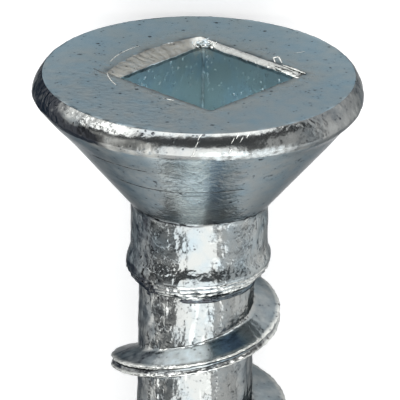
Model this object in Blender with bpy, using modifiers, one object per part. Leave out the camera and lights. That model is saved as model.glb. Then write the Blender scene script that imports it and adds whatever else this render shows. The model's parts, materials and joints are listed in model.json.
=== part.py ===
"""No. 8 flat head wood screw with a square drive recess, lying on its side as it comes to rest.

The screw is one piece of cold-headed steel wire with a rolled thread. It is modelled standing up, with
its axis on Z, the middle of its flat face at the origin and its front at -Y. It is then laid down on the
rim of its head and the crest of its thread.
"""

import math

import bmesh
import bpy
from mathutils import Matrix, Vector

MM = 0.001

# Head
LENGTH = 32.0 * MM
HEAD_DIAMETER = 7.85 * MM
RIM_HEIGHT = 0.58 * MM
RIM_TOP_RADIUS = 0.27 * MM
RIM_FOOT_RADIUS = 0.2 * MM
COUNTERSINK_ANGLE = math.radians(82)

# Neck, and the bead that the rolling dies push up at its foot
NECK_DIAMETER = 3.25 * MM
NECK_LENGTH = 1.24 * MM
NECK_FILLET = 0.25 * MM
COLLAR_DIAMETER = 3.48 * MM
COLLAR_BEAD_RADIUS = 0.55 * MM

# Core and point under the thread
ROOT_DIAMETER = 2.75 * MM
POINT_LENGTH = 5.8 * MM
POINT_BLEND_RADIUS = 9.0 * MM

# Thread
THREAD_DIAMETER = 4.42 * MM
THREAD_PITCH = 2.54 * MM
CREST_WIDTH = 0.28 * MM
FLANK_ANGLE = math.radians(24)
THREAD_GAP = 0.16 * MM
RISE_TURNS = 0.13
FIRST_TURN_SHARE = 0.75
FILL_FROM_TURNS = 0.72
FILL_TO_TURNS = 1.15
THREAD_SUNK = 0.12 * MM
POINT_THREAD_SHARE = 0.3
FADE_TURNS = 0.45
THREAD_END_GAP = 0.5 * MM

# Square drive recess
RECESS_ACROSS_FLATS = 2.88 * MM
RECESS_FOOT_ACROSS_FLATS = 2.74 * MM
RECESS_DEPTH = 2.1 * MM
RECESS_POINT_DEPTH = 0.55 * MM
RECESS_TURN = math.radians(3)
RECESS_CORNER_RADIUS = 0.12 * MM
LEAD_IN_WIDTH = 0.2 * MM
LEAD_IN_DEPTH = 0.13 * MM
CUTTER_OVERRUN = 0.4 * MM

# Facets: the rim and the crest each have a flat, not a corner, at the front and where they touch the
# floor, and their other corners never line up
BLANK_SIDES = 42
THREAD_SIDES = 48
THREAD_START_SIDES = 1.5
ARC_STEPS = 4

ZINC_COLOUR = (0.42, 0.46, 0.48, 1.0)
ZINC_ROUGHNESS = 0.32

head_radius = HEAD_DIAMETER / 2
neck_radius = NECK_DIAMETER / 2
collar_radius = COLLAR_DIAMETER / 2
root_radius = ROOT_DIAMETER / 2
thread_height = (THREAD_DIAMETER - ROOT_DIAMETER) / 2
head_height = RIM_HEIGHT + (head_radius - neck_radius) / math.tan(COUNTERSINK_ANGLE / 2)
shoulder_z = -head_height - NECK_LENGTH


def clear_scene():
    for left_over in list(bpy.data.objects):
        bpy.data.objects.remove(left_over)


def collection(name):
    made = bpy.data.collections.new(name)
    bpy.context.scene.collection.children.link(made)
    return made


def zinc_plate():
    """Bright zinc over steel."""
    finish = bpy.data.materials.new("zinc_plate")
    finish.use_nodes = True
    shader = finish.node_tree.nodes["Principled BSDF"]
    shader.inputs["Base Color"].default_value = ZINC_COLOUR
    shader.inputs["Metallic"].default_value = 1.0
    shader.inputs["Roughness"].default_value = ZINC_ROUGHNESS
    return finish


def arc(centre, radius, start, end, steps=ARC_STEPS):
    """Points on a circle in the profile plane, from the start angle to the end angle."""
    angles = [start + (end - start) * i / steps for i in range(steps + 1)]
    return [centre + radius * Vector((math.cos(a), math.sin(a))) for a in angles]


def rounded(corners):
    """A line through (radius, height, fillet) corners, with each fillet drawn as an arc."""
    places = [Vector(corner[:2]) for corner in corners]
    line = [places[0]]
    for before, here, after, corner in zip(places, places[1:], places[2:], corners[1:]):
        fillet = corner[2]
        if not fillet:
            line.append(here)
            continue
        arriving = (here - before).normalized()
        leaving = (after - here).normalized()
        turn = arriving.angle_signed(leaving)
        reach = fillet * math.tan(abs(turn) / 2)
        side = Vector((arriving.y, -arriving.x)) * math.copysign(1, turn)
        centre = here - arriving * reach + side * fillet
        start = math.atan2(-side.y, -side.x)
        line += arc(centre, fillet, start, start - turn)
    return line + [places[-1]]


def collar_profile():
    """The half-round bead from the neck down to the core."""
    bead_centre = collar_radius - COLLAR_BEAD_RADIUS
    top = math.acos((neck_radius - bead_centre) / COLLAR_BEAD_RADIUS)
    foot = math.acos((root_radius - bead_centre) / COLLAR_BEAD_RADIUS)
    centre = Vector((bead_centre, shoulder_z - COLLAR_BEAD_RADIUS * math.sin(top)))
    return arc(centre, COLLAR_BEAD_RADIUS, top, -foot, 2 * ARC_STEPS)


def turned(name, profile, steps, home):
    """A solid of revolution about Z from a profile that runs down its outer side."""
    mesh = bpy.data.meshes.new(name)
    points = [(p.x, 0, p.y) for p in profile]
    mesh.from_pydata(points, [(i, i + 1) for i in range(len(points) - 1)], [])
    solid = bpy.data.objects.new(name, mesh)
    home.objects.link(solid)
    spin = solid.modifiers.new("Turn", "SCREW")
    spin.steps = spin.render_steps = steps
    spin.use_merge_vertices = True
    spin.merge_threshold = 1e-6
    return solid


def screw_blank(home):
    """Head, neck, collar, core and point, as one turned shape."""
    collar = collar_profile()
    head = rounded([
        (0, 0, 0),
        (head_radius, 0, RIM_TOP_RADIUS),
        (head_radius, -RIM_HEIGHT, RIM_FOOT_RADIUS),
        (neck_radius, -head_height, NECK_FILLET),
        (*collar[0], 0),
    ])
    point = rounded([
        (*collar[-1], 0),
        (root_radius, POINT_LENGTH - LENGTH, POINT_BLEND_RADIUS),
        (0, -LENGTH, 0),
    ])
    return turned("flat_head_wood_screw", head + collar[1:] + point[1:], BLANK_SIDES, home)


def core_radius(z):
    """Radius of the plain core at a height along the thread."""
    return root_radius * min(1.0, max(0.0, (z + LENGTH) / POINT_LENGTH))


def eased(x):
    x = min(1.0, max(0.0, x))
    return x * x * (3 - 2 * x)


def thread_share(turns, turns_left, z):
    """Height of the ridge against the full thread, from its run-in to the point."""
    filled = eased((turns - FILL_FROM_TURNS) / (FILL_TO_TURNS - FILL_FROM_TURNS))
    share = FIRST_TURN_SHARE + (1 - FIRST_TURN_SHARE) * filled
    on_point = core_radius(z) / root_radius
    share *= POINT_THREAD_SHARE + (1 - POINT_THREAD_SHARE) * on_point
    return share * eased(turns / RISE_TURNS) * eased(turns_left / FADE_TURNS)


def ridge_section(bearing, z, share):
    """Four corners of the thread ridge where it passes a bearing from the front."""
    outward = Vector((math.sin(bearing), -math.cos(bearing), 0))
    core = core_radius(z)
    inner = max(core - THREAD_SUNK, core / 2)
    outer = inner + (core - inner + thread_height) * share
    half_crest = CREST_WIDTH / 2 * (1 + share) / 2
    half_foot = half_crest + (outer - inner) * math.tan(FLANK_ANGLE)
    corners = [(inner, half_foot), (outer, half_crest), (outer, -half_crest), (inner, -half_foot)]
    return [outward * radius + Vector((0, 0, z + rise)) for radius, rise in corners]


def thread_ridge(home):
    """The right-hand thread, lofted between sections that swell at the collar and shrink to the point."""
    start_z = collar_profile()[-1].y - THREAD_GAP
    start_bearing = math.pi - math.tau * THREAD_START_SIDES / THREAD_SIDES
    turns = (start_z + LENGTH - THREAD_END_GAP) / THREAD_PITCH
    count = math.ceil(turns * THREAD_SIDES)
    ridge = bmesh.new()
    before = None
    for i in range(count + 1):
        done = i / THREAD_SIDES
        z = start_z - done * THREAD_PITCH
        share = thread_share(done, (count - i) / THREAD_SIDES, z)
        section = ridge_section(start_bearing - done * math.tau, z, share)
        ring = [ridge.verts.new(corner) for corner in section]
        if before:
            for k in range(len(ring)):
                n = (k + 1) % len(ring)
                ridge.faces.new((before[k], before[n], ring[n], ring[k]))
        else:
            ridge.faces.new(ring)
        before = ring
    ridge.faces.new(reversed(before))
    bmesh.ops.recalc_face_normals(ridge, faces=ridge.faces)
    mesh = bpy.data.meshes.new("thread_ridge")
    ridge.to_mesh(mesh)
    ridge.free()
    tool = bpy.data.objects.new("thread_ridge", mesh)
    home.objects.link(tool)
    return tool


def recess_punch(home):
    """The square punch: a profile turned in four steps, with one corner nearly to the front."""
    half_diagonal = RECESS_ACROSS_FLATS / math.sqrt(2)
    foot_half_diagonal = RECESS_FOOT_ACROSS_FLATS / math.sqrt(2)
    slope = LEAD_IN_WIDTH * math.sqrt(2) / LEAD_IN_DEPTH
    punch = turned("recess_punch", [
        Vector((0, CUTTER_OVERRUN)),
        Vector((half_diagonal + slope * (LEAD_IN_DEPTH + CUTTER_OVERRUN), CUTTER_OVERRUN)),
        Vector((half_diagonal, -LEAD_IN_DEPTH)),
        Vector((foot_half_diagonal, -RECESS_DEPTH)),
        Vector((0, -RECESS_DEPTH - RECESS_POINT_DEPTH)),
    ], 4, home)
    punch.rotation_euler.z = RECESS_TURN
    soften = punch.modifiers.new("Corners", "BEVEL")
    soften.width = RECESS_CORNER_RADIUS
    soften.segments = 2
    soften.limit_method = "ANGLE"
    soften.angle_limit = math.radians(60)
    return punch


def combine(solid, operation, tool):
    tool.hide_render = True
    tool.display_type = "WIRE"
    cut = solid.modifiers.new(tool.name, "BOOLEAN")
    cut.operation = operation
    cut.solver = "EXACT"
    cut.object = tool


def side_outline(solid):
    """The finished screw's points as (along the axis, towards the floor), seen from the side."""
    graph = bpy.context.evaluated_depsgraph_get()
    shape = solid.evaluated_get(graph)
    mesh = shape.to_mesh()
    points = sorted({(v.co.z, v.co.y) for v in mesh.vertices})
    shape.to_mesh_clear()
    return points


def resting_lean(points):
    """Angle that brings the longest edge under the screw, from thread crest to head rim, level."""
    under = []
    for along, down in points:
        while len(under) > 1:
            (a0, d0), (a1, d1) = under[-2:]
            if (a1 - a0) * (down - d0) < (d1 - d0) * (along - a0):
                break
            under.pop()
        under.append((along, down))
    (crest, crest_down), (rim, rim_down) = max(zip(under, under[1:]), key=lambda e: e[1][0] - e[0][0])
    return math.atan2(rim_down - crest_down, rim - crest)


def lay_down(solid, tools, home):
    """Lays the screw on the floor at z = 0, front upwards, with the middle of its box at the origin."""
    outline = side_outline(solid)
    lie = Matrix.Rotation(resting_lean(outline) - math.pi / 2, 4, "X")
    placed = [lie @ Vector((0, down, along)) for along, down in outline]
    lengthwise = [p.y for p in placed]
    floor = bpy.data.objects.new("resting_place", None)
    home.objects.link(floor)
    floor.location = (0, -(max(lengthwise) + min(lengthwise)) / 2, -min(p.z for p in placed))
    floor.rotation_euler = lie.to_euler()
    for piece in (solid, *tools):
        piece.parent = floor


def main():
    clear_scene()
    screw_parts = collection("wood_screw")
    tools = collection("cutters")
    screw = screw_blank(screw_parts)
    combine(screw, "UNION", thread_ridge(tools))
    combine(screw, "DIFFERENCE", recess_punch(tools))
    screw.data.materials.append(zinc_plate())
    lay_down(screw, tools.objects, screw_parts)


main()
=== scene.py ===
import json
import math

import bpy
import numpy as np
from mathutils import Matrix, Vector, noise


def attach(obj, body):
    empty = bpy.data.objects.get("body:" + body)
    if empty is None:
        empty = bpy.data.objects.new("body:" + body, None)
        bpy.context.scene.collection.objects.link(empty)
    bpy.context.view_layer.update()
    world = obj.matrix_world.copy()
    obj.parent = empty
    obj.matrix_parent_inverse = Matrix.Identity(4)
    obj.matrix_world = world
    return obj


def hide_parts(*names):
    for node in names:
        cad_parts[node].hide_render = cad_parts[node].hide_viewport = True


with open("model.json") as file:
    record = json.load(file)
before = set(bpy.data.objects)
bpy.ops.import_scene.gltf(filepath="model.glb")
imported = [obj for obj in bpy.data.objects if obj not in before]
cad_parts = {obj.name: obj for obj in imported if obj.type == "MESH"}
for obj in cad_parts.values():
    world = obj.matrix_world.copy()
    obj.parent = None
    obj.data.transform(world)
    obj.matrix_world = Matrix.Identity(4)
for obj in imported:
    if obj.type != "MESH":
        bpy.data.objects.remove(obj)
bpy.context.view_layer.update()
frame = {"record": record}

# The head: cold-headed steel wire with a flat face, a rounded rim and a countersink, zinc plated.
# The punch left the square recess turned and off the middle, with a scraped lead-in on its edges.
# Sizes are in millimetres from the middle of the flat face: x right, y back, z up along the screw.
NODE = "flat_head_wood_screw"
MARK_REACH = 3.0  # from the axis to the record's mark on the face
FACE_RADIUS = 3.69
HEAD_SHIFT = Vector((-0.073, -0.046, 0))
# The arcs of the rim's section: the first and last slope in degrees, the radius and how many rows
RIM_ARCS = ((0, 45, 0.03, 5), (45, 88, 0.68, 20), (88, 115, 0.06, 5), (115, 130.2, 0.5, 6))
CONE_ANGLE = math.radians(40.2)
CONE_SLOPE = math.tan(CONE_ANGLE)
CONE_SHIFT = -0.01
NECK_RADIUS = 1.624
NECK_FILLET = 0.34
CREASE_FILLET = 0.02
CREASE_LEFT = -0.78
CREASE_RIGHT = 0.12
CREASE_LIFT = 0.012
NECK_SEAM_DEPTH = 4.45
RECESS_TURN = math.radians(2.6)
RECESS_SHIFT = 0.113
RECESS_HALF = 1.47
RECESS_FOOT_HALF = 1.38
RECESS_CORNER = 0.06
RECESS_DEPTH = 2.1
RECESS_POINT_DEPTH = 2.65
LEAD_IN_WIDTH = 0.18
LEAD_IN_DEPTH = 0.12
SCRAPE_WIDTH = 0.36
RAGGED_SPACING = 8.0
CRISP = 0.05
HEAD_COLUMNS = 560

mark = next(m for m in frame["record"]["mounts"] if m["name"] == "head_face")
lean = math.asin(mark["axis"][2])
front = Vector((0, -math.sin(lean), math.cos(lean)))
head_middle = Vector(mark["pos_m"]) - front * MARK_REACH / 1000
turn_to_row = Matrix.Rotation(lean - math.pi / 2, 4, "X")
to_row = Matrix.Translation(head_middle) @ turn_to_row @ Matrix.Scale(0.001, 4)


def eased(x):
    """0 below 0 and 1 above 1, with a smooth rise between."""
    x = np.clip(x, 0, 1)
    return x * x * (3 - 2 * x)


def rise(value, start, width):
    """0 up to the start and 1 beyond this width after it, with a smooth rise between."""
    return eased((value - start) / width)


def outward(bearings):
    """Unit vectors from the axis. Bearing 0 is the front, and it grows to the right."""
    return np.column_stack([np.sin(bearings), -np.cos(bearings), np.zeros(len(bearings))])


def ring(bearings, reach, depth, shift=(0, 0, 0), skew=0.0):
    """One closed row of points round the axis. Skew lifts its right side."""
    row = outward(bearings) * np.reshape(reach, (-1, 1)) + shift
    row[:, 2] = row[:, 0] * skew - depth
    return row


def steps(a, b, count):
    """Rows from a to b, without a itself."""
    return [a + (b - a) * (i / count) for i in range(1, count + 1)]


def unevenness(points, size):
    """Smooth noise between -1 and 1 whose bumps are about this wide."""
    return np.array([[noise.noise(Vector(p) / size) for p in row] for row in points])


def facing(points):
    """Outward normals of a grid of rings."""
    along = np.gradient(points, axis=0)
    across = np.roll(points, -1, axis=1) - np.roll(points, 1, axis=1)
    normals = np.cross(along, across)
    length = np.linalg.norm(normals, axis=2, keepdims=True)
    return normals / np.maximum(length, 1e-9)


def closed_mesh(name, points, marks):
    """A closed mesh from a grid of rings, whose first and last rings are single points. Marks are
    named values, one for each point of the grid, that the plating reads."""
    count = points.shape[1]
    inner = points[1:-1].reshape(-1, 3)
    corners = np.vstack([points[0, :1], inner, points[-1, :1]])
    first = np.arange(1, len(inner) + 1).reshape(-1, count)
    after = np.roll(first, -1, axis=1)
    quads = np.stack([first[:-1], after[:-1], after[1:], first[1:]], axis=-1).reshape(-1, 4)
    top = [(0, b, a) for a, b in zip(first[0], after[0])]
    bottom = [(a, b, len(corners) - 1) for a, b in zip(first[-1], after[-1])]
    mesh = bpy.data.meshes.new(name)
    mesh.from_pydata(corners.tolist(), [], top + quads.tolist() + bottom)
    mesh.shade_smooth()
    for mark_name, values in marks.items():
        flat = np.concatenate([values[0, :1], values[1:-1].ravel(), values[-1, :1]])
        mesh.attributes.new(mark_name, "FLOAT", "POINT").data.foreach_set("value", flat)
    made = bpy.data.objects.new(name, mesh)
    bpy.context.collection.objects.link(made)
    return made


turned = np.arange(HEAD_COLUMNS) * math.tau / HEAD_COLUMNS
bearing = turned + RECESS_TURN
from_corner = (turned + math.pi / 4) % (math.pi / 2) - math.pi / 4
from_side = math.pi / 4 - np.abs(from_corner)


def square_reach(half_side, corner):
    """Distance from the recess's middle to a square with rounded corners, for each column."""
    diagonal = (half_side - corner) * math.sqrt(2)
    inside = np.maximum(corner ** 2 - (diagonal * np.sin(from_corner)) ** 2, 0)
    round_part = diagonal * np.cos(from_corner) + np.sqrt(inside)
    on_corner = np.tan(from_side) > (half_side - corner) / half_side
    return np.where(on_corner, round_part, half_side / np.cos(from_side))


def along_side(side):
    """Goes from 0 to 1 along a side of the square. Side 0 runs rightward from the front corner."""
    return (turned - side * math.pi / 2) / (math.pi / 2)


FAR_RIGHT_SIDE = 1
FAR_LEFT_SIDE = 2
from_corners = np.minimum(along_side(FAR_RIGHT_SIDE), 1 - along_side(FAR_RIGHT_SIDE))
far_right = np.clip(from_corners * 14 + 0.5, 0, 1)
scrape = np.sin(np.clip(along_side(FAR_LEFT_SIDE), 0, 1) * math.pi) ** 0.7
ragged = np.array([noise.fractal(outward([b])[0] * RAGGED_SPACING, 1.0, 2.0, 3) for b in bearing])
lead_width = LEAD_IN_WIDTH + SCRAPE_WIDTH * scrape - 0.05 * far_right
lead_width += ragged * (0.015 + 0.05 * scrape)
lead_depth = LEAD_IN_DEPTH - 0.02 * far_right + 0.02 * np.roll(ragged, 40)
recess_shift = (RECESS_SHIFT, 0, 0)
recess_reach = square_reach(RECESS_HALF, RECESS_CORNER)

point = ring(bearing, 0.0, RECESS_POINT_DEPTH, recess_shift)
foot = ring(bearing, square_reach(RECESS_FOOT_HALF, RECESS_CORNER), RECESS_DEPTH, recess_shift)
wall_top = ring(bearing, recess_reach, lead_depth, recess_shift)
mouth = ring(bearing, recess_reach + lead_width / np.cos(from_side), 0.0, recess_shift)
face_edge = ring(bearing, FACE_RADIUS, 0.0, HEAD_SHIFT)

rows, kinds = [], []


def lay(new_rows, kind):
    """Adds rows to the head, all of one kind of surface."""
    rows.extend(new_rows)
    kinds.extend([kind] * len(new_rows))


# Rows that lie close together at an edge keep it crisp.
lay([point] + steps(point, foot, 4) + steps(foot, wall_top, 12)[:-1], "wall")
lay([wall_top + (foot - wall_top) * share for share in (0.045, 0.03, 0.005, 0)], "wall")
lay([wall_top + (mouth - wall_top) * CRISP] + steps(wall_top, mouth, 7)[:-1], "lead_in")
lay([mouth + (wall_top - mouth) * CRISP, mouth], "lead_in")
lay([mouth + (face_edge - mouth) * share for share in (0.01, 0.03, 0.05)], "face_edge")
lay(steps(rows[-1], face_edge, 20), "face")

reach, depth = FACE_RADIUS, 0.0
for start, end, radius, count in RIM_ARCS:
    angles = np.radians(np.linspace(start, end, count + 1))
    for before, after in zip(angles[:-1], angles[1:]):
        reach += radius * (math.sin(after) - math.sin(before))
        depth += radius * (math.cos(before) - math.cos(after))
        lay([ring(bearing, reach, depth, HEAD_SHIFT)], "rim")
rim_foot_reach, rim_foot_depth = reach, depth

from_front = (bearing + math.pi) % math.tau - math.pi
creased = rise(from_front, CREASE_LEFT, 0.12) * rise(-from_front, -CREASE_RIGHT, 0.25)
fillet = NECK_FILLET + (CREASE_FILLET - NECK_FILLET) * creased
crease_depth = rim_foot_depth + (rim_foot_reach - NECK_RADIUS) / CONE_SLOPE
fillet_reach = NECK_RADIUS + fillet * (1 - math.cos(CONE_ANGLE))
fillet_top = crease_depth - (fillet_reach - NECK_RADIUS) / CONE_SLOPE
fillet_middle = fillet_top + fillet * math.sin(CONE_ANGLE)
for down in np.linspace(0, 1, 45)[1:]:
    off = HEAD_SHIFT.lerp(Vector((CONE_SHIFT, 0, 0)), float(eased(down * 3)))
    cone_reach = rim_foot_reach + (fillet_reach - rim_foot_reach) * down
    cone_depth = rim_foot_depth + (fillet_top - rim_foot_depth) * down
    lay([ring(bearing, cone_reach, cone_depth, off)], "cone")
for angle in np.linspace(CONE_ANGLE, 0, 8)[1:]:
    arc_reach = NECK_RADIUS + fillet * (1 - math.cos(angle))
    arc_depth = fillet_middle - fillet * math.sin(angle)
    lay([ring(bearing, arc_reach, arc_depth, (CONE_SHIFT, 0, 0))], "neck")
lay(steps(rows[-1], ring(bearing, NECK_RADIUS, NECK_SEAM_DEPTH), 26), "neck")
lay([ring(bearing, NECK_RADIUS * share, NECK_SEAM_DEPTH) for share in (0.6, 0)], "neck")

blank = np.array(rows)
kinds = np.array(kinds)
wall, lead_in, face_rim, face, rim, cone, neck = (
    (kinds == kind)[:, None] * np.ones(HEAD_COLUMNS)
    for kind in ("wall", "lead_in", "face_edge", "face", "rim", "cone", "neck"))

# Places round the head, in degrees: the bearing of the middle, how far the place reaches to each
# side of it, and how much further it fades out. Bearing 0 is the front and 90 the right.
DENTS = (-27, 7, 6)
SMALL_DENTS = (-50, 10, 8)
FINE_GRAIN = (50, 22, 12)
SHADED_LEFT_END = (-97, 34, 12)
SHADED_LOWER_LEFT = (-66, 24, 10)
SCUFFED_TOP_HIGHLIGHT = (-50, 18, 10)
SCUFFED_PATCH = (-28, 8, 9)
GREY_BAND = (-44, 14, 8)
RIM_FOOT_HIGHLIGHT = (18, 11, 9)
DARKER_RIGHT = (55, 25, 15)
PITTED_FACE = (-45, 40, 20)
CLEAN_FACE = (0, 40, 30)
PITTED_CONE = (3, 14, 12)
CONE_HIGHLIGHT = (-6, 6, 9)
CONE_DARK_REFLECTION = (11, 5, 5)
WORN_NECK = (5, 3, 15)
NECK_SHADE_LINE = (-43.5, 1.5, 3)
FAR_CORNER = -177.4
# Where the rim stands out or in: the place, how far down the rim it starts, over how much of the
# rim it rises, and its height
RIM_SWELLS = (
    ((57, 10, 22), 0.4, 0.35, 0.05),
    ((-86, 6, 14), 0.3, 0.3, 0.018),
    ((92, 10, 26), 0.0, 0.3, -0.02),
    ((-58, 12, 18), 0.4, 0.3, -0.02),
)


def near(angle, degrees, fade):
    """1 within this many degrees of a bearing, fading out over some more."""
    away = np.abs((from_front - math.radians(angle) + math.pi) % math.tau - math.pi)
    return 1 - rise(np.degrees(away), degrees, fade)


def uneven_lift(points, coarse, fine, streaked):
    """How far the surface stands off its true shape, from bumps of two sizes and long streaks."""
    streaks = unevenness(points * [1, 1, 0.2], 0.13) * streaked
    return unevenness(points, 0.32) * coarse + unevenness(points, 0.11) * fine + streaks


def left_shade(bearings):
    """Painted shade: the left side is darker."""
    return eased(-np.sin(bearings) * 1.6 - 0.25)


def neck_pitting(points):
    """The neck is worn smooth along its front, and pitted beside that and along its foot."""
    depths = -points[:, :, 2]
    foot_band = rise(depths, 4.05, 0.2) * rise(-depths, -4.6, 0.15)
    patchy = 0.5 * unevenness(points, 0.45) + 0.45 * unevenness(points, 0.22)
    return np.clip(0.2 + 0.36 * (1 - near(*WORN_NECK)) + 0.35 * foot_band + patchy, 0.08, 0.8)


def neck_shade(points):
    """Painted shade: the neck's left side is darker, most of all along a line beside its front."""
    side = rise(-from_front, 0.75, 0.12)
    line = near(*NECK_SHADE_LINE) * (0.55 + 0.6 * unevenness(points, 0.3))
    return (0.2 + 0.85 * side) * left_shade(from_front) + line


# The bumps of each kind of surface, in millimetres
rough_rim = rise(np.abs(from_front + 0.1), 0.35, 0.5) * (1 - 0.4 * near(*FINE_GRAIN))
dents = near(*DENTS) + 0.4 * near(*SMALL_DENTS)
coarse = 0.006 * wall + (0.016 - 0.01 * far_right) * lead_in + 0.0014 * face + 0.0018 * cone
coarse += (0.003 + 0.006 * rough_rim + 0.01 * dents) * rim + 0.016 * neck
fine = 0.003 * wall + (0.012 - 0.006 * far_right) * lead_in + 0.0003 * face + 0.0006 * cone
fine += (0.0015 + 0.005 * rough_rim + 0.004 * dents) * rim + 0.004 * neck
lift = uneven_lift(blank, coarse, fine, 0.004 * neck)
down_rim = -blank[:, :, 2] / rim_foot_depth
rim_swell = sum(height * near(*place) * rise(down_rim, start, width)
                for place, start, width, height in RIM_SWELLS)
lift += rim_swell * (rim + cone * (1 - rise(down_rim, 1, 0.5)))
crease = np.exp(-((-blank[:, :, 2] - crease_depth) / 0.03) ** 2) * creased * (cone + neck)
lift += crease * CREASE_LIFT
lift[[0, -1]] = 0
blank = blank + facing(blank) * lift[:, :, None]

# Wear, stains, painted shade and painted highlights: first along the edges of the recess, then
# on the rim and on the cone
depths = -blank[:, :, 2]
whole_face = face + face_rim
# Painted light: the face turns paler towards its back through the recess film's colour, and its
# film is bluer there.
back_share = np.clip(0.5 + blank[:, :, 1] / 7, 0, 1)
blotches = unevenness(blank, 0.35)
up_lead_in = 1 - depths / lead_depth
lead_stain = 0.6 * rise(up_lead_in, 0.55, 0.45) + 0.6 * rise(-up_lead_in, -0.22, 0.15)
lead_stain *= 0.7 + 0.9 * unevenness(blank, 0.2)
from_mouth = np.linalg.norm(blank - mouth, axis=2)
from_wall_top = np.linalg.norm(blank - wall_top, axis=2)
mouth_stain = np.exp(-(from_mouth / 0.11) ** 2) * (0.7 + 0.5 * far_right) * (1 + 0.8 * blotches)
wall_edge = wall * rise(-np.abs(from_wall_top - 0.03), -0.05, 0.02)
corner_line = wall * near(FAR_CORNER, 0.8, 0.6) * eased(4 * unevenness(blank, 0.12))
# Painted highlight round the recess's far corner, on the lead-in and the upper wall.
corner_shine = near(FAR_CORNER, 5, 5) * (lead_in + wall * rise(-depths, -0.5, 0.3))

# Painted shade: the sides of the rim, the cone and the neck turn darker away from the front.
shaded_sides = rise(np.abs(from_front), 0.4, 0.3)
ragged_down = down_rim - 0.15 * blotches
scuffed_patch = near(*SCUFFED_PATCH) * rise(ragged_down, 0.3, 0.15) * (0.6 + blotches)
# Scuffs roughen the rim at its top left and lower down; their bare metal at the top left is also a
# painted highlight.
scuffed_top_highlight = near(*SCUFFED_TOP_HIGHLIGHT) * rise(-down_rim - 0.15 * blotches, -0.4, 0.15)
scuffs_and_highlight = 0.45 * scuffed_top_highlight + 0.6 * scuffed_patch
# Painted highlight: the rim's bright foot goes on to the right as bare metal and white rust.
rim_foot_highlight = near(*RIM_FOOT_HIGHLIGHT) * rise(down_rim, 0.6, 0.12) * (0.55 + unevenness(blank, 0.12))
grey_band = near(*GREY_BAND) * rise(down_rim - 0.1 * blotches, 0.3, 0.12) * (1 - scuffed_patch)
# Painted shade: a dark band low on the rim's left.
shaded_lower_left = near(*SHADED_LOWER_LEFT) * rise(ragged_down, 0.38, 0.15)
# The rim's colour: painted shade at its left end, low on its left and on its sides, a grey band of
# scraped metal stained a little, and darker at the right and towards its top.
rim_stain_and_shade = 1.4 * near(*SHADED_LEFT_END) + 1.5 * shaded_lower_left + 0.3 * grey_band
rim_stain_and_shade += 0.15 + 0.3 * shaded_sides * (1 - scuffs_and_highlight)
rim_stain_and_shade += 0.12 * near(*DARKER_RIGHT) + 0.25 * rise(-down_rim, -0.6, 0.6)
# Painted highlight: a pale streak down the cone's front.
cone_highlight = near(*CONE_HIGHLIGHT) * (1 + 0.7 * blotches)
# Painted reflection: a dark band right of the cone's front, deeper down the cone.
cone_dark_reflection = near(*CONE_DARK_REFLECTION) * (0.3 + 0.7 * rise(depths, 0.9, 0.8)) * (1 + blotches)
# Painted shade on the cone's left and sides, with that dark band.
cone_shade = 0.5 * left_shade(from_front) + 0.15 * shaded_sides + 0.45 * cone_dark_reflection
head = closed_mesh("screw_head", blank, {
    "film": wall + (0.5 + 0.35 * back_share) * whole_face + 0.35 * cone + 0.2 * neck,
    # Painted light: the recess film's colour pales the face's back and the cone's front.
    "recess": wall + 0.36 * back_share ** 2 * whole_face + 0.42 * cone_highlight * cone,
    "scraped": (1 - far_right) * lead_in + 0.5 * np.exp(-(from_mouth / 0.45) ** 2) * whole_face
               + (1.4 * scuffed_patch + 0.5 * grey_band) * rim,
    # Bare metal, with painted highlights on the cone's front, the rim's top left and foot and round
    # the recess's far corner.
    "bright": 0.35 * far_right * lead_in + 0.25 * cone_highlight * cone
              + (scuffs_and_highlight + rim_foot_highlight) * rim + corner_shine,
    # White rust at the rim's foot, which is a painted highlight.
    "rusty": 0.65 * rim_foot_highlight * rim,
    "pitted": (0.12 + 0.55 * rough_rim + 0.5 * scuffs_and_highlight) * rim
              + (0.1 + 0.1 * near(*PITTED_CONE)) * cone + (0.05 + 0.15 * near(*PITTED_FACE)) * face
              + 0.08 * wall + 0.3 * lead_in + neck_pitting(blank) * neck,
    # Painted shade on the rim, the cone and the neck and in the crease under the cone; stains round
    # the mouth, on the lead-in, along the wall's top and down the far corner; the face darker off
    # its front.
    "stained": rim_stain_and_shade * rim + cone_shade * cone + (neck_shade(blank) + 0.15 * shaded_sides) * neck
               + 0.1 * (1 - near(*CLEAN_FACE)) * face + mouth_stain * whole_face
               + lead_stain * lead_in + 0.9 * wall_edge + 0.8 * corner_line + 1.7 * crease,
})
head.data.transform(to_row)
head_grid = blank


class Socket:
    """A node's output. Arithmetic on it adds Math nodes to its tree."""

    def __init__(self, tree, link):
        self.tree = tree
        self.link = link

    def math(self, operation, *values):
        inputs = dict(enumerate((self,) + values))
        return add(self.tree, "ShaderNodeMath", {"operation": operation}, inputs)

    def __add__(self, other):
        return self.math("ADD", other)

    __radd__ = __add__

    def __mul__(self, other):
        return self.math("MULTIPLY", other)

    def __sub__(self, other):
        return self.math("SUBTRACT", other)

    def __rsub__(self, other):
        return self.math("MULTIPLY_ADD", -1.0, other)

    def __truediv__(self, other):
        return self.math("DIVIDE", other)

    def __neg__(self):
        return self * -1.0

    def ramp(self, start, end, smooth=False):
        """0 at start and 1 at end, held outside them."""
        kind = "SMOOTHSTEP" if smooth else "LINEAR"
        return add(self.tree, "ShaderNodeMapRange", {"interpolation_type": kind}, {
            "Value": self, "From Min": start, "From Max": end})


def add(tree, kind, settings=None, inputs=None, output=0):
    """Adds a node, with its settings first and then the values or links of its sockets."""
    made = tree.nodes.new(kind)
    for name, value in (settings or {}).items():
        setattr(made, name, value)
    for name, value in (inputs or {}).items():
        if isinstance(value, Socket):
            tree.links.new(value.link, made.inputs[name])
        else:
            made.inputs[name].default_value = value
    return Socket(tree, made.outputs[output]) if len(made.outputs) else made


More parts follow.
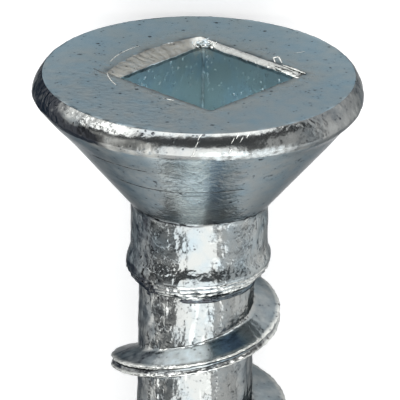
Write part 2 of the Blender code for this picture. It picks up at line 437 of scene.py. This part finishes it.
def tint(tree, amount, under, over):
    """Blends two colours, each a value or a link."""
    settings = {"data_type": "RGBA", "clamp_factor": True}
    node = add(tree, "ShaderNodeMix", settings, {"Factor": amount}).link.node
    for socket, colour in ((node.inputs[6], under), (node.inputs[7], over)):
        if isinstance(colour, Socket):
            tree.links.new(colour.link, socket)
        else:
            socket.default_value = (*colour, 1.0)
    return Socket(tree, node.outputs[2])


ZINC = (0.345, 0.355, 0.345)
BLUE_FILM = (0.235, 0.33, 0.39)
DEEP_BLUE_FILM = (0.09, 0.17, 0.30)
RECESS_FILM_AND_LIGHT = (0.62, 0.765, 0.83)
GREENISH_FILM = (0.67, 0.77, 0.775)
WHITE_RUST_AND_HIGHLIGHT = (0.70, 0.80, 0.84)
SCRAPED_METAL = (0.34, 0.335, 0.305)
BARE_METAL_AND_HIGHLIGHT = (0.84, 0.85, 0.81)
DARK_PIT_AND_SHADE = (0.055, 0.058, 0.065)
GRAZING_TINT = (0.30, 0.31, 0.32, 1.0)
MICRON = 0.000001


def zinc_plate(name):
    """Zinc plating: dull, grainy and mottled, with a bluish film that is thicker in some places.
    Its scales are per millimetre, and its heights in thousandths of a millimetre."""
    finish = bpy.data.materials.new(name)
    finish.use_nodes = True
    tree = finish.node_tree
    tree.nodes.clear()
    film, recess, scraped, bright, pitted, stained, rusty = (
        add(tree, "ShaderNodeAttribute", {"attribute_name": mark_name}, output="Fac")
        for mark_name in ("film", "recess", "scraped", "bright", "pitted", "stained", "rusty"))
    back = to_row.inverted()
    place = add(tree, "ShaderNodeMapping", {}, {
        "Vector": add(tree, "ShaderNodeTexCoord", output="Object"),
        "Location": tuple(back.translation),
        "Rotation": tuple(back.to_euler()),
        "Scale": (1000.0, 1000.0, 1000.0),
    })

    def grain(scale, detail):
        return add(tree, "ShaderNodeTexNoise", {}, {
            "Vector": place, "Scale": float(scale), "Detail": float(detail), "Roughness": 0.6})

    def spots(scale, radius):
        """1 inside small round spots, whose radius is a share of the distance between them."""
        spot = add(tree, "ShaderNodeTexVoronoi", {}, {"Vector": place, "Scale": float(scale)})
        return 1.0 - spot.ramp(radius * 0.6, radius)

    clouds = grain(0.9, 3)
    patches = grain(3.5, 4)
    speckle = grain(8, 4)
    bumps = grain(7, 1)
    crystals = grain(22, 1)
    facets = add(tree, "ShaderNodeTexVoronoi", {}, {"Vector": place, "Scale": 11.0})
    in_recess = recess.ramp(0.5, 0.9)
    pit = (spots(3.4, 0.2) + spots(8.0, 0.26)) * patches.ramp(0.48, 0.62) * (1.0 - in_recess * 0.7)
    glint = spots(6.5, 0.26) * speckle.ramp(0.42, 0.62) * in_recess
    # White rust, painted highlights on the rim's foot and the thread's flank, and painted glints in
    # the recess turn the surface pale and dull.
    white_rust_and_highlight = (rusty + glint * 0.5).ramp(0.0, 1.0)
    dust = speckle.ramp(0.53, 0.63) * patches.ramp(0.4, 0.6) * pitted

    bluish = film + (clouds - 0.5) * 1.2 + (patches - 0.5) * 0.8
    colour = tint(tree, bluish, ZINC, BLUE_FILM)
    colour = tint(tree, film.ramp(1.0, 2.0), colour, DEEP_BLUE_FILM)
    # The recess film colours the recess; on the face's back and the cone's front it is painted
    # light.
    recess_film_and_light = tint(tree, clouds.ramp(0.42, 0.58), GREENISH_FILM, RECESS_FILM_AND_LIGHT)
    colour = tint(tree, recess * 0.9, colour, recess_film_and_light)
    colour = tint(tree, scraped * speckle.ramp(0.35, 0.55), colour, SCRAPED_METAL)
    # Bare metal, and painted highlights, brighten the colour.
    colour = tint(tree, bright * speckle.ramp(0.3, 0.45), colour, BARE_METAL_AND_HIGHLIGHT)
    colour = tint(tree, white_rust_and_highlight, colour, WHITE_RUST_AND_HIGHLIGHT)
    # Stains and painted shade darken the colour.
    colour = tint(tree, stained * (0.6 + (patches - 0.5) * 1.6), colour, DARK_PIT_AND_SHADE)
    colour = tint(tree, pit * 0.85 + dust * 0.9, colour, DARK_PIT_AND_SHADE)
    roughness = patches * 0.14 + 0.13 + scraped * 0.2 + recess * 0.12
    sparkling = pitted.ramp(0.45, 0.9) * patches.ramp(0.4, 0.6)
    height = bumps * pitted * 34.0 + speckle * (pitted * 6.0 + 1.6)
    height = height + crystals * (pitted * 2.0 + 0.6) + facets * sparkling * 16.0
    height = height - pit * 4.0 + patches * 4.0 + glint * 10.0
    bump = add(tree, "ShaderNodeBump", {}, {"Height": height, "Distance": MICRON, "Strength": 1.0})
    shader = add(tree, "ShaderNodeBsdfPrincipled", {}, {
        "Base Color": colour,
        "Metallic": 1.0 - white_rust_and_highlight,
        "Roughness": roughness,
        "Specular Tint": GRAZING_TINT,
        "Normal": bump,
    })
    add(tree, "ShaderNodeOutputMaterial", {}, {"Surface": shader})
    return finish


head.data.materials.append(zinc_plate("zinc_plate_head"))
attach(head, "root")
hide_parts(NODE)

# The burr: a bead that the thread-rolling dies pushed up at the foot of the neck, with thin flakes
# of folded metal under it and a painted shadow, dark and bluish, below them.
BEAD_TOP_DEPTH = 4.27
BEAD_DEPTH = 4.68
BEAD_RADIUS = 1.72
BEAD_END_DEPTH = 5.2
BEAD_SKEW = 0.055
BEAD_SHIFT = -0.03
CORE_RADIUS = 1.362
CORE_SHIFT = -0.055
FLAKE_PITCH = 0.12
FLAKE_LIFT = 0.06
FLAKES_TOP_DEPTH = 4.7
FLAKES_END_DEPTH = 5.18
SHADOW_UNDER_BEAD_DEPTH = 5.17
SHADE_LEFT_DEPTH = 4.56
SHADE_LEFT_OF_BEAD = (-74, 30, 14)
BEAD_COLUMNS = 640

# The bead has its own columns, and near() goes by these from here on.
bearing = np.arange(BEAD_COLUMNS) * math.tau / BEAD_COLUMNS
from_front = (bearing + math.pi) % math.tau - math.pi
# The closed top lies inside the neck.
rows = [ring(bearing, NECK_RADIUS * share, BEAD_TOP_DEPTH - 0.1) for share in (0, 0.9)]
for down in np.linspace(0, 1, 101):
    depth = BEAD_TOP_DEPTH + (BEAD_END_DEPTH - BEAD_TOP_DEPTH) * down
    swollen = rise(depth, BEAD_TOP_DEPTH, BEAD_DEPTH - BEAD_TOP_DEPTH)
    fallen = max(0, (depth - BEAD_DEPTH) / (BEAD_END_DEPTH - BEAD_DEPTH)) ** 1.6
    reach = NECK_RADIUS - 0.001 + (BEAD_RADIUS - NECK_RADIUS) * swollen
    reach -= (BEAD_RADIUS - CORE_RADIUS) * fallen
    skew = BEAD_SKEW * float(eased(down * 2))
    rows.append(ring(bearing, reach, depth, (BEAD_SHIFT * down, 0, 0), skew))
for down in (0.3, 0.65, 1):
    depth = BEAD_END_DEPTH + 0.1 * down
    rows.append(ring(bearing, CORE_RADIUS + 0.012, depth, (BEAD_SHIFT, 0, 0), BEAD_SKEW))
under = ring(bearing, CORE_RADIUS * 0.8, BEAD_END_DEPTH + 0.14, (CORE_SHIFT, 0, 0), BEAD_SKEW)
rows += steps(rows[-1], under, 3)
rows.append(ring(bearing, 0.0, BEAD_END_DEPTH + 0.15, (CORE_SHIFT, 0, 0), BEAD_SKEW))

blank = np.array(rows)
wander = 0.07 * unevenness(blank * [1, 1, 0.3], 0.5)
wander += 0.025 * unevenness(blank * [1, 1, 0.5], 0.13)
skewed_depth = -blank[:, :, 2] + BEAD_SKEW * blank[:, :, 0]
flake_depth = skewed_depth + wander
flaked = rise(flake_depth, FLAKES_TOP_DEPTH, 0.08) * rise(-flake_depth, -FLAKES_END_DEPTH, 0.04)
down_flake = (flake_depth / FLAKE_PITCH) % 1
folded = 0.75 + 0.9 * unevenness(blank * [1, 1, 0.4], 0.25)
lift = uneven_lift(blank, 0.016, 0.004 + 0.006 * flaked, 0.004)
lift += FLAKE_LIFT * flaked * (down_flake ** 2 - 0.5) * folded
lift[[0, -1]] = 0
blank = blank + facing(blank) * lift[:, :, None]

# Painted shade under the bead's left side.
shade_left_of_bead = rise(flake_depth, SHADE_LEFT_DEPTH, 0.06) * near(*SHADE_LEFT_OF_BEAD)
# Painted shadow below the flakes, dark and bluish.
shadow_under_bead = rise(skewed_depth, SHADOW_UNDER_BEAD_DEPTH, 0.04)
# Painted shade in the folds between the flakes.
shaded_folds = flaked * rise(-down_flake, -0.5, 0.2) * folded
bead = closed_mesh("burr_bead", blank, {
    "film": 0.2 + 0.6 * shadow_under_bead,
    "pitted": neck_pitting(blank) * (1 - 0.5 * shadow_under_bead) * (1 - 0.6 * flaked) + 0.1 * flaked,
    # Bare metal and painted highlight along the flakes' lower edges.
    "bright": 0.55 * flaked * rise(down_flake, 0.55, 0.2),
    "stained": neck_shade(blank) + 0.7 * shade_left_of_bead + 1.7 * shaded_folds + 1.35 * shadow_under_bead,
})
bead.data.transform(to_row)
bead.data.materials.append(zinc_plate("zinc_plate_bead"))
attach(bead, "root")
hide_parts(NODE)

# The rolled thread: one strip, as wide as the pitch, wound round the core down to the point. The
# dies leave a double lip along the crest where the metal from both flanks meets, and start it low.
THREAD_PITCH = 2.54
THREAD_HEIGHT = 0.84
FRONT_CREST_DEPTH = 6.725
LENGTH = 32.0
POINT_LENGTH = 5.8
TOP_DEPTH = 4.9
CREST_HALF = 0.135
FOOT_HALF = 0.37
# Turns are counted from where the crest first passes the front.
LEAD_TURNS = 1.3
START_TURNS = (-0.48, -0.36)
FILLING_TURNS = (0.25, 0.62)
LOW_SHARE = 0.75
END_FADE = (0.4, 1.7)
# The strip has more stations a turn where the photograph shows it.
FINE_TURNS = 2.6
FINE_STATIONS = 360
PLAIN_STATIONS = 130


def thread_section():
    """Points across one pitch: their distance down from the crest and their share of its height."""
    half = THREAD_PITCH / 2
    flank_width = FOOT_HALF - CREST_HALF
    root = [(-half + (half - FOOT_HALF - 0.05) * i / 7, 0.0) for i in range(8)]
    foot = [(-FOOT_HALF - 0.02, 0.004), (-FOOT_HALF + 0.01, 0.03)]
    flank = [(-FOOT_HALF + flank_width * i / 6, 0.03 + 0.93 * i / 6) for i in range(1, 6)]
    lip = [(-CREST_HALF, 0.97), (0.018 - CREST_HALF, 1.0), (0.05 - CREST_HALF, 0.985), (-0.05, 0.9)]
    upper = root + foot + flank + lip
    return upper + [(0.0, 0.87)] + [(-u, h) for u, h in reversed(upper)]


section = thread_section()
section_mesh = bpy.data.meshes.new("thread_section")
section_mesh.from_pydata([(u, h, 0) for u, h in section], [], [])
section_object = bpy.data.objects.new("thread_section", section_mesh)


def new_tree(name, inputs):
    """A Geometry Nodes tree with these inputs, each a name and the kind of its socket, and the
    sockets that give their values inside it."""
    tree = bpy.data.node_groups.new(name, "GeometryNodeTree")
    for input_name, kind in inputs:
        tree.interface.new_socket(input_name, in_out="INPUT", socket_type="NodeSocket" + kind)
    tree.interface.new_socket("Made", in_out="OUTPUT", socket_type="NodeSocketGeometry")
    given = tree.nodes.new("NodeGroupInput")
    return tree, {socket.name: Socket(tree, socket) for socket in given.outputs if socket.name}


def marked(tree, geometry, marks):
    """Stores named values, one for each point, that the plating reads."""
    settings = {"data_type": "FLOAT", "domain": "POINT"}
    for mark_name, value in marks.items():
        geometry = add(tree, "GeometryNodeStoreNamedAttribute", settings, {
            "Geometry": geometry, "Name": mark_name, "Value": value})
    return geometry


def finish_tree(tree, geometry, finish):
    """Ends a tree: real geometry with its material."""
    real = add(tree, "GeometryNodeRealizeInstances", {}, {"Geometry": geometry})
    finished = add(tree, "GeometryNodeSetMaterial", {}, {"Geometry": real, "Material": finish})
    result = tree.nodes.new("NodeGroupOutput")
    tree.links.new(finished.link, result.inputs["Made"])
    return tree


def winding_tree():
    """Winds a strip with the thread's section round the core."""
    tree, size = new_tree("rolled_thread", [
        ("Section Points", "Int"), ("Stations", "Int"), ("Fine Stations", "Float"),
        ("Fine Turns", "Float"), ("Plain Stations", "Float"), ("Lead Turns", "Float"),
        ("Pitch", "Float"), ("Core Radius", "Float"), ("Height", "Float"),
        ("Front Crest", "Float"), ("Top", "Float"), ("Length", "Float"),
        ("Point Length", "Float"), ("Section", "Object"), ("Finish", "Material"),
    ])
    grid = add(tree, "GeometryNodeMeshGrid", {}, {
        "Size X": size["Stations"] - 1.0,
        "Size Y": size["Section Points"] - 1.0,
        "Vertices X": size["Stations"],
        "Vertices Y": size["Section Points"],
    })
    place = add(tree, "GeometryNodeInputPosition")
    along = add(tree, "ShaderNodeSeparateXYZ", {}, {"Vector": place}, "X")
    across = add(tree, "ShaderNodeSeparateXYZ", {}, {"Vector": place}, "Y")
    station = along + (size["Stations"] - 1.0) / 2.0
    shape = add(tree, "GeometryNodeObjectInfo", {}, {"Object": size["Section"]}, "Geometry")
    corner = add(tree, "GeometryNodeSampleIndex", {"data_type": "FLOAT_VECTOR"}, {
        "Geometry": shape,
        "Value": place,
        "Index": (across + (size["Section Points"] - 1.0) / 2.0).math("ROUND"),
    })
    sideways = add(tree, "ShaderNodeSeparateXYZ", {}, {"Vector": corner}, "X")
    height = add(tree, "ShaderNodeSeparateXYZ", {}, {"Vector": corner}, "Y")

    fine_end = size["Fine Stations"] * size["Fine Turns"]
    fine = station.math("MINIMUM", fine_end) / size["Fine Stations"]
    plain = (station - fine_end).math("MAXIMUM", 0.0) / size["Plain Stations"]
    seen = fine + plain - size["Lead Turns"]
    turned = seen * math.tau
    crest_depth = seen * size["Pitch"] + size["Front Crest"]
    wanted_depth = crest_depth + sideways
    depth = wanted_depth.math("MAXIMUM", size["Top"]).math("MINIMUM", size["Length"])
    on_point = ((size["Length"] - depth) / size["Point Length"]).math("MINIMUM", 1.0)
    core = size["Core Radius"] * on_point * (1.0 - (size["Top"] - wanted_depth).ramp(0.0, 0.3))
    started = seen.ramp(*START_TURNS, smooth=True)
    filled = seen.ramp(*FILLING_TURNS, smooth=True)
    ended = (size["Length"] - crest_depth).ramp(*END_FADE, smooth=True)
    share = started * (LOW_SHARE + filled * (1 - LOW_SHARE)) * (0.3 + on_point * 0.7) * ended
    reach = core + height * size["Height"] * share
    to_right = -turned.math("SINE")
    to_front = turned.math("COSINE")

    def wound(at_reach):
        """Places on the strip, at this distance from the core's middle."""
        return add(tree, "ShaderNodeCombineXYZ", {}, {
            "X": to_right * at_reach, "Y": -to_front * at_reach, "Z": -depth})

    surface = wound(reach)

    def rough(scale, vector=surface, detail=2.0):
        """Smooth noise between about -0.5 and 0.5."""
        return add(tree, "ShaderNodeTexNoise", {}, {
            "Vector": vector, "Scale": scale, "Detail": detail}) - 0.5

    def between(rises, falls):
        """1 on a part of the turn, given as how far right it starts and how far right it ends."""
        return to_right.ramp(*rises) * (1.0 - to_right.ramp(*falls))

    on_crest = height.ramp(0.86, 0.9)
    # Painted shade in the groove along the crest, and a painted highlight on its lips.
    on_groove = on_crest * (1.0 - sideways.math("ABSOLUTE").ramp(0.04, 0.07))
    lips = on_crest * (1.0 - on_groove)
    flank = height.ramp(0.05, 0.2) * (1.0 - on_crest)
    on_front = to_front.ramp(0.6, 0.8)
    # Where the highlight falls on the root's front: smoother, with a streaky painted highlight.
    highlit_front = on_front * between((-0.5, -0.3), (0.15, 0.4))
    # Gouges left of the front: streaks in the surface, with painted glints of bare metal.
    gouges_and_glints = between((-0.9, -0.75), (-0.5, -0.35)) * (1.0 - flank)
    # Painted highlight on the flank's front, as white rust and bare metal.
    flank_highlight = flank * on_front * between((-0.58, -0.4), (0.07, 0.25))
    blue_patch = flank * on_front * between((0.2, 0.4), (0.6, 0.75))
    lengthwise = add(tree, "ShaderNodeVectorMath", {"operation": "MULTIPLY"}, {
        0: surface, 1: (1.0, 1.0, 0.3)})
    streaks = rough(5.0, lengthwise, 1.0)
    worn = rough(1.6) * 0.04 + rough(3.0) * 0.045 + rough(8.0) * (on_crest * 0.06 + 0.014)
    worn = worn + streaks * (1.0 - on_crest) * (0.03 + gouges_and_glints * 0.09)

    # Painted shade: the thread's left side is darker, less on the lips and the gouges; its right
    # side is darker lower down and on the flanks.
    left_shade_on_thread = (-to_right).ramp(0.1, 0.8, smooth=True) * (1.0 - lips * 0.6) * (1.0 - gouges_and_glints * 0.4)
    right_shade_on_thread = depth.ramp(6.2, 6.8) * 0.5 + 0.18 + flank * (0.34 - depth.ramp(7.4, 8.0) * 0.5)
    marks = {
        "film": flank * 0.3 + 0.1 + blue_patch * 1.25,
        "pitted": 0.65 - flank * 0.35 - highlit_front * 0.2 - to_right.ramp(0.2, 0.5) * 0.25
                  + rough(2.0) * 0.8,
        # Painted shade on the left, on the right and in the crest's groove.
        "stained": left_shade_on_thread * 1.1 + on_groove + to_right.ramp(0.4, 0.9) * right_shade_on_thread,
        # Painted highlight on the flank's front.
        "rusty": flank_highlight * (0.8 + rough(4.0) * 1.5),
        # Painted highlights on the flank's front, the lips and the root's front; painted glints on
        # the gouges.
        "bright": flank_highlight + lips * 0.8 + gouges_and_glints * rough(4.0).ramp(0.0, 0.1)
                  + highlit_front * (1.0 - flank) * (streaks * 3.0 - 0.1),
    }
    moved = add(tree, "GeometryNodeSetPosition", {}, {
        "Geometry": marked(tree, grid, marks), "Position": wound(reach + worn * on_point)})
    joined = add(tree, "GeometryNodeMergeByDistance", {}, {"Geometry": moved, "Distance": 0.002})
    rounded = add(tree, "GeometryNodeSetShadeSmooth", {}, {"Geometry": joined})
    return finish_tree(tree, rounded, size["Finish"])


def grown(name, tree, values):
    """The plain mesh that a Geometry Nodes tree makes from these named inputs."""
    carrier = bpy.data.objects.new(name, bpy.data.meshes.new(name))
    bpy.context.collection.objects.link(carrier)
    grow = carrier.modifiers.new("Grow", "NODES")
    grow.node_group = tree
    for item in tree.interface.items_tree:
        if item.name in values:
            grow[item.identifier] = values[item.name]
    graph = bpy.context.evaluated_depsgraph_get()
    mesh = bpy.data.meshes.new_from_object(carrier.evaluated_get(graph))
    carrier.modifiers.remove(grow)
    carrier.data = mesh
    return carrier


plain_turns = LEAD_TURNS + (LENGTH - FRONT_CREST_DEPTH) / THREAD_PITCH + 0.6 - FINE_TURNS
thread = grown("threaded_shank", winding_tree(), {
    "Section": section_object,
    "Section Points": len(section),
    "Stations": math.ceil(FINE_TURNS * FINE_STATIONS + plain_turns * PLAIN_STATIONS) + 1,
    "Fine Stations": float(FINE_STATIONS),
    "Fine Turns": FINE_TURNS,
    "Plain Stations": float(PLAIN_STATIONS),
    "Lead Turns": LEAD_TURNS,
    "Pitch": THREAD_PITCH,
    "Core Radius": CORE_RADIUS,
    "Height": THREAD_HEIGHT,
    "Front Crest": FRONT_CREST_DEPTH,
    "Top": TOP_DEPTH,
    "Length": LENGTH,
    "Point Length": POINT_LENGTH,
    "Finish": zinc_plate("zinc_plate_thread"),
})
thread.data.transform(to_row @ Matrix.Translation((CORE_SHIFT, 0, 0)))
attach(thread, "root")
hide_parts(NODE)

# Burrs and nicks: slivers shaved off at the recess's right corner, specks of bare metal and of
# white rust at its far corner, a ring scratched round it, nicks across the rim and scratches
# round the countersink.


def strip_tree():
    """Turns curves into thin ragged strips, as wide as each point's radius says."""
    tree, size = new_tree("ragged_strip", [
        ("Spacing", "Float"), ("Raggedness", "Float"), ("Thickness", "Float"), ("Bright", "Float"),
        ("Stained", "Float"), ("Rusty", "Float"), ("Paths", "Object"), ("Finish", "Material"),
    ])
    paths = add(tree, "GeometryNodeObjectInfo", {}, {"Object": size["Paths"]}, "Geometry")
    fine = add(tree, "GeometryNodeResampleCurve", {"mode": "LENGTH"}, {
        "Curve": paths, "Length": size["Spacing"]})
    place = add(tree, "GeometryNodeInputPosition")
    rough = add(tree, "ShaderNodeTexNoise", {}, {
        "Vector": place, "Scale": 14.0, "Detail": 2.0}) - 0.5
    radius = add(tree, "GeometryNodeInputRadius")
    edge = add(tree, "GeometryNodeCurvePrimitiveQuadrilateral", {}, {
        "Width": 2.0, "Height": size["Thickness"]})
    ribbons = add(tree, "GeometryNodeCurveToMesh", {}, {
        "Curve": fine,
        "Profile Curve": edge,
        "Scale": radius * (1.0 + rough * size["Raggedness"]),
        "Fill Caps": True,
    })
    marks = {name.lower(): size[name] for name in ("Bright", "Stained", "Rusty")}
    return finish_tree(tree, marked(tree, ribbons, marks), size["Finish"])


def on_head(kind, degrees, share):
    """A place on the rim or the cone, from its upper edge at 0 to its foot at 1."""
    band = np.flatnonzero(kinds == kind)
    column = round((math.radians(degrees) - RECESS_TURN) / math.tau * HEAD_COLUMNS) % HEAD_COLUMNS
    row, part = divmod(share * (len(band) - 1), 1)
    above, below = head_grid[band[0] + int(row):][:2, column]
    return tuple(above + (below - above) * part)


RING_MIDDLE = (-0.24, 0.12)
RING_RADIUS = 2.0


def ring_scratch(start, end):
    """Points along the ring scratched into the face, between two angles from the right."""
    angles = np.radians(np.linspace(start, end, 12))
    return [(RING_MIDDLE[0] + RING_RADIUS * math.cos(a),
             RING_MIDDLE[1] + RING_RADIUS * math.sin(a), 0.004) for a in angles]


def cone_scratch(start, end, share):
    """Points along a scratch that runs round the countersink, between two bearings in degrees."""
    return [on_head("cone", a, share + 0.02 * noise.noise(Vector((a / 14, share, 0))))
            for a in range(start, end, 2)]


# Each nick across the rim has its bearing in degrees and its place between the edge and the foot.
RIM_NICKS = (
    (12.4, 0.32), (14.4, 0.2), (15.6, 0.3), (11.2, 0.6), (18.3, 0.2), (-1.0, 0.75), (-27, 0.7),
)
SPECKS = 80
CORNER_SPECKS = 18
bright_strips = [
    (0.1, [(1.7, 0.57, -0.02), (2.0, 0.17, 0.0), (2.27, -0.2, 0.0)]),
    (0.045, [(1.9, 0.6, 0.01), (2.18, 0.3, 0.03), (2.44, 0.05, 0.02)]),
    (0.022, [(1.72, 0.72, 0.02), (1.68, 0.9, 0.07), (1.8, 0.95, 0.08), (1.88, 0.7, 0.02)]),
    (0.012, ring_scratch(128, 166)),
    (0.014, ring_scratch(184, 208)),
    (0.014, [(2.16, 1.36, 0.004), (2.42, 1.5, 0.004)]),
    (0.018, [(-0.92, -1.56, 0.0), (-0.76, -1.66, 0.0), (-0.64, -1.72, 0.0)]),
    (0.014, [on_head("rim", 1.0 - 3.6 * along, 0.1 + 0.75 * along)
             for along in np.linspace(0, 1, 10)]),
]
for degrees, share in RIM_NICKS:
    bright_strips.append((0.018, [
        on_head("rim", degrees + 0.6 - 1.2 * along, share - 0.07 + 0.14 * along)
        for along in (0, 0.5, 1)]))
# The specks lie close together behind the recess's far corner and go down the corner line.
pale_strips = []
chance = np.random.default_rng(7)
for speck in range(SPECKS):
    across, back, sunk = chance.normal(0, 1, 3)
    middle = np.array((0.1 + 0.18 * across, 2.04 + 0.12 * back, -0.02 - 0.04 * abs(sunk)))
    toward = chance.normal(0, 0.05, 3) * (1, 1, 0.5)
    group = pale_strips if speck % 2 else bright_strips
    group.append((chance.uniform(0.015, 0.045), [middle - toward, middle, middle + toward]))
for down in np.linspace(0.12, 1.15, CORNER_SPECKS):
    middle = np.array((0.1 + 0.04 * down, 1.93 - 0.05 * down, -down)) + chance.normal(0, 0.014, 3)
    toward = np.array((0.005, -0.005, chance.uniform(0.015, 0.04)))
    pale_strips.append((chance.uniform(0.01, 0.03), [middle - toward, middle, middle + toward]))
dark_strips = [
    (0.02, [(-2.56, 0.2, 0.002), (-2.32, -0.06, 0.002), (-2.08, -0.33, 0.002)]),
    (0.011, cone_scratch(-44, 24, 0.5)),
    (0.009, cone_scratch(-14, 4, 0.55)),
    (0.009, cone_scratch(-50, -20, 0.235)),
]


def strips(name, paths, bright=0.0, stained=0.0, rusty=0.0):
    """Lays strips, each given as half its width and the points it passes through."""
    path_data = bpy.data.curves.new(name, "CURVE")
    path_data.dimensions = "3D"
    for half_width, places in paths:
        spline = path_data.splines.new("POLY")
        spline.points.add(len(places) - 1)
        for number, (spot, place) in enumerate(zip(spline.points, places)):
            at_end = number in (0, len(places) - 1)
            spot.co = (*place, 1.0)
            spot.radius = half_width * (0.35 if at_end else 1.0)
    laid = grown(name, strip_tree(), {
        "Paths": bpy.data.objects.new(name + "_paths", path_data),
        "Spacing": 0.03,
        "Raggedness": 1.2,
        "Thickness": 0.5,
        "Bright": bright,
        "Stained": stained,
        "Rusty": rusty,
        "Finish": zinc_plate("zinc_plate_" + name),
    })
    laid.data.transform(to_row)
    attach(laid, "root")
    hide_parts(NODE)


strips("burrs_and_nicks", bright_strips, bright=1.0)
strips("specks_of_white_rust", pale_strips, rusty=1.0)
strips("dark_scratches", dark_strips, stained=0.9)

# The floor that the screw lies on: plain pale paper, which the camera and the metal see as white.
FLOOR_HALF = 3
FLOOR_COLOUR = (0.8, 0.8, 0.8, 1.0)
FLOOR_GLOW = 0.3
CAMERA_GLOW = 1.3
floor_corners = [(x * FLOOR_HALF, y * FLOOR_HALF, 0)
                 for x, y in ((-1, -1), (1, -1), (1, 1), (-1, 1))]
floor_mesh = bpy.data.meshes.new("floor")
floor_mesh.from_pydata(floor_corners, [], [(0, 1, 2, 3)])
floor = bpy.data.objects.new("floor", floor_mesh)
bpy.context.collection.objects.link(floor)
paper = bpy.data.materials.new("pale_floor")
paper.use_nodes = True
paper_tree = paper.node_tree
paper_tree.nodes.clear()
to_camera, to_metal, to_glass = [
    add(paper_tree, "ShaderNodeLightPath", output=ray)
    for ray in ("Is Camera Ray", "Is Glossy Ray", "Is Transmission Ray")]
paper_shader = add(paper_tree, "ShaderNodeBsdfPrincipled", {}, {
    "Base Color": FLOOR_COLOUR,
    "Roughness": 1.0,
    "Specular IOR Level": 0.0,
    "Emission Color": (1.0, 1.0, 1.0, 1.0),
    "Emission Strength": (to_camera * CAMERA_GLOW + to_metal + to_glass) * FLOOR_GLOW,
})
add(paper_tree, "ShaderNodeOutputMaterial", {}, {"Surface": paper_shader})
floor_mesh.materials.append(paper)

# The camera looks down on the lying screw from over its head, a quarter of a metre away.
PICTURE_WIDTH = 400
PIXELS_PER_MM = 42.3
VIEW_ELEVATION = math.radians(22.6)
VIEW_DISTANCE = 250.0
VIEW_ROLL = math.radians(0.94)
AIM = (0.0, 0.0, -3.224)
SENSOR = 36.0
eye = Vector((0, -math.cos(VIEW_ELEVATION), math.sin(VIEW_ELEVATION)))
camera_data = bpy.data.cameras.new("camera")
camera_data.sensor_width = SENSOR
camera_data.lens = SENSOR * VIEW_DISTANCE * PIXELS_PER_MM / PICTURE_WIDTH
camera_data.clip_start = 0.02
camera_data.clip_end = 10.0
camera = bpy.data.objects.new("camera", camera_data)
bpy.context.collection.objects.link(camera)
away = (to_row.to_3x3() @ eye).normalized()
up = (to_row.to_3x3() @ Vector((0, 0, 1))).normalized()
right = up.cross(away).normalized()
look = Matrix((right, away.cross(right), away)).transposed()
camera.location = to_row @ Vector(AIM) + away * VIEW_DISTANCE / 1000
camera.rotation_euler = (look @ Matrix.Rotation(VIEW_ROLL, 3, "Z")).to_euler()
bpy.context.scene.camera = camera


# Soft studio light in a dim room: a large box overhead, a low strip behind the head and one in
# front, a weak fill at the left and two stronger ones at the right.
def softbox(name, azimuth, elevation, width, height, radiance, distance=0.5):
    """A flat lamp that faces the screw, of this width and height in degrees as the screw sees it.
    Azimuth 0 is at the point's end and 90 at the right."""
    lamp_data = bpy.data.lights.new(name, "AREA")
    lamp_data.shape = "RECTANGLE"
    lamp_data.size = 2 * distance * math.tan(math.radians(width / 2))
    lamp_data.size_y = 2 * distance * math.tan(math.radians(height / 2))
    lamp_data.energy = radiance * math.pi * lamp_data.size * lamp_data.size_y
    lamp = bpy.data.objects.new(name, lamp_data)
    bpy.context.collection.objects.link(lamp)
    a, e = math.radians(azimuth), math.radians(elevation)
    direction = Vector((math.sin(a) * math.cos(e), -math.cos(a) * math.cos(e), math.sin(e)))
    lamp.location = direction * distance
    lamp.rotation_euler = direction.to_track_quat("Z", "Y").to_euler()
    lamp.visible_camera = False


softbox("key", 0, 60, 62, 76, 2.4)
softbox("low_back", 193, 21, 100, 32, 3.3)
softbox("low_front", 0, 12, 104, 20, 1.2)
softbox("left_fill", -62, 28, 30, 38, 0.3)
softbox("right_fill", 53, 26, 44, 46, 0.9)
softbox("right_back", 100, 23, 34, 38, 0.75)

ROOM_COLOUR = (0.9, 0.95, 1.0, 1.0)
ROOM_LIGHT = 0.12
world = bpy.data.worlds.new("room")
bpy.context.scene.world = world
world.use_nodes = True
background = world.node_tree.nodes["Background"]
background.inputs["Color"].default_value = ROOM_COLOUR
background.inputs["Strength"].default_value = ROOM_LIGHT

bpy.context.scene.view_settings.view_transform = "Standard"
